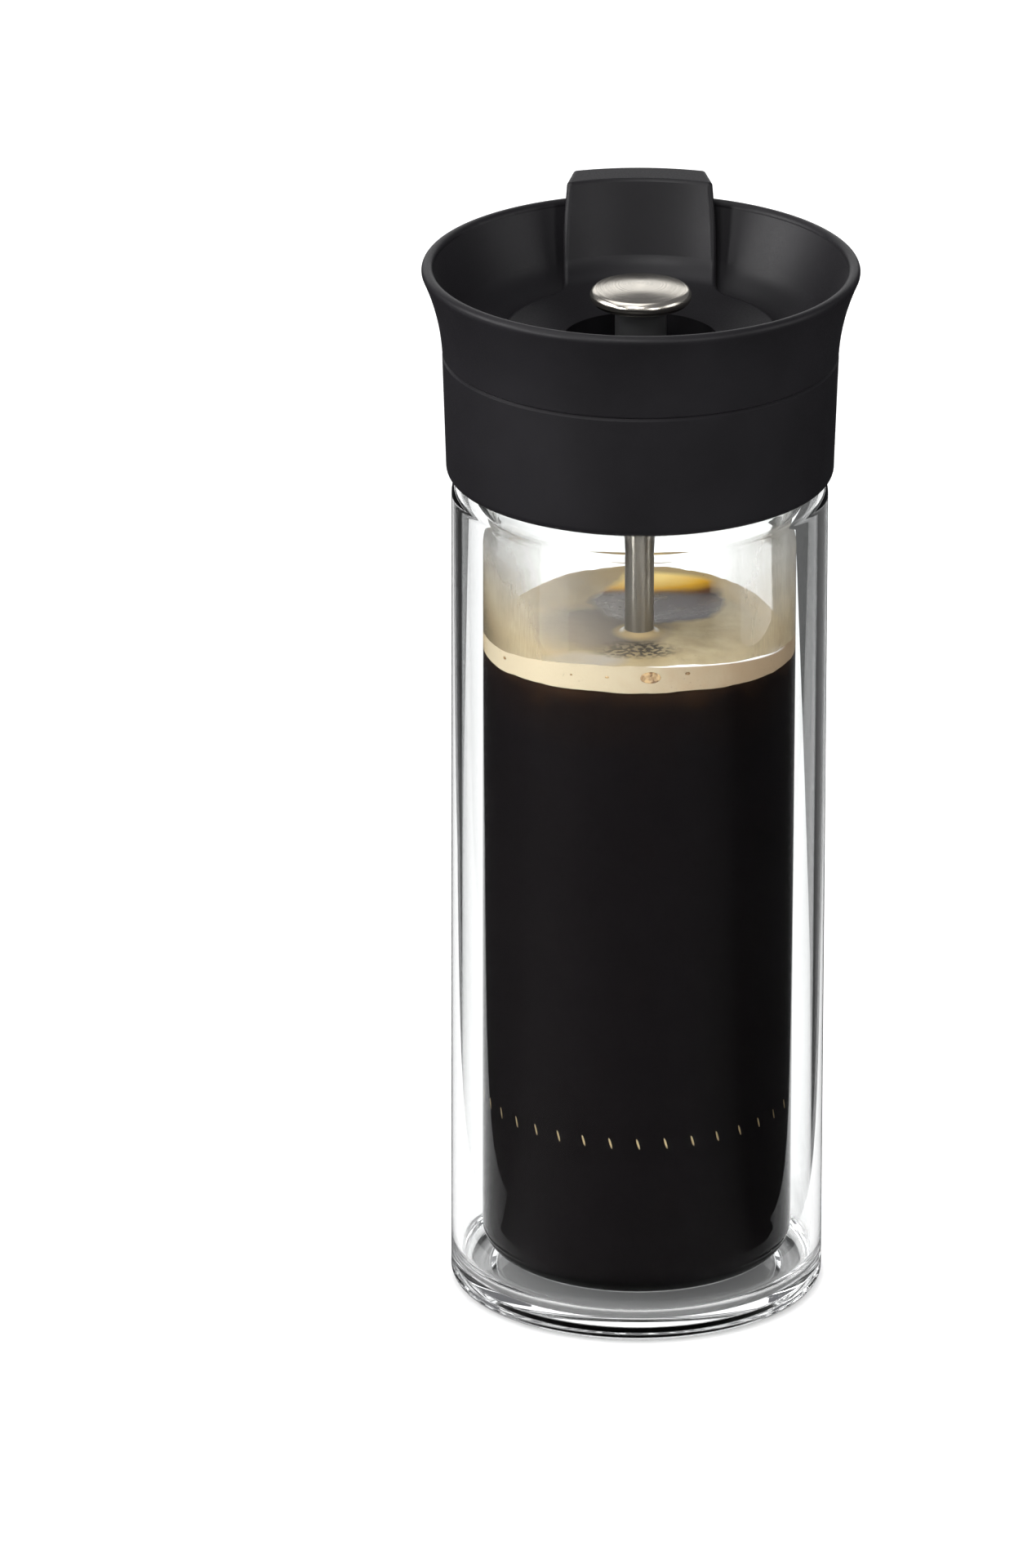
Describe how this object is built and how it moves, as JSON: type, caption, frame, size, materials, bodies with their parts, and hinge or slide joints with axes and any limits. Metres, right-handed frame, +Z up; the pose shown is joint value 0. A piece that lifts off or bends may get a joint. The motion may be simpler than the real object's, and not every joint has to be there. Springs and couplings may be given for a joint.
{
  "type": "french press",
  "caption": "Double-wall glass french press to drink from, with a screw lid, a flared drinking bowl, a turning shutter with a thumb tab, and a plunger with a coil-edged filter.",
  "frame": {"origin": "centre of the base ring, on the table", "axes": "+Z up along the plunger's axis, +Y towards the shutter tab and the drinking slot"},
  "size_m": [0.0836, 0.0835, 0.2128],
  "materials": {
    "clear_glass": "clear, fire-polished",
    "black_plastic": "fine matte texture",
    "grey_plastic": "satin",
    "silicone": "soft matte",
    "turned_steel": "turned, with fine circular marks",
    "drawn_steel": "drawn and polished",
    "sheet_steel": "pressed sheet",
    "spring_steel": "bright wire, tinted by the coffee",
    "screen_steel": "fine woven wire"
  },
  "bodies": {
    "vessel": {"outer_glass": "clear_glass", "inner_glass": "clear_glass"},
    "lid_seal": {"lid_gasket": "silicone"},
    "lid": {"screw_collar": "black_plastic", "drinking_rim": "black_plastic", "guide_bush": "grey_plastic", "rod_seal": "silicone", "gland_nut": "black_plastic"},
    "closure": {"closure_lever": "black_plastic", "closure_pad": "silicone"},
    "plunger": {"plunger_knob": "turned_steel", "stopper_sleeve": "grey_plastic", "stopper_ring": "silicone", "plunger_rod": "drawn_steel", "filter_hub": "drawn_steel", "pressure_plate": "sheet_steel", "edge_spring": "spring_steel", "mesh_screen": "screen_steel", "cross_plate": "sheet_steel", "filter_nut": "drawn_steel"}
  },
  "joints": [
    {"name": "lid_lift", "type": "slide", "parent": "vessel", "child": "lid_seal", "axis": [0, 0, 1], "range_m": [0, 0.165], "deforming": ["edge_spring"]},
    {"name": "lid_turn", "type": "hinge", "parent": "lid_seal", "child": "lid", "pos_m": [0, 0, 0.185], "axis": [0, 0, 1], "range_deg": [0, 360]},
    {"name": "plunge", "type": "slide", "parent": "lid", "child": "plunger", "axis": [0, 0, 1], "range_m": [0, 0.108]},
    {"name": "closure_turn", "type": "hinge", "parent": "lid", "child": "closure", "pos_m": [0, 0, 0.19], "axis": [0, 0, 1], "range_deg": [0, 90]}
  ]
}
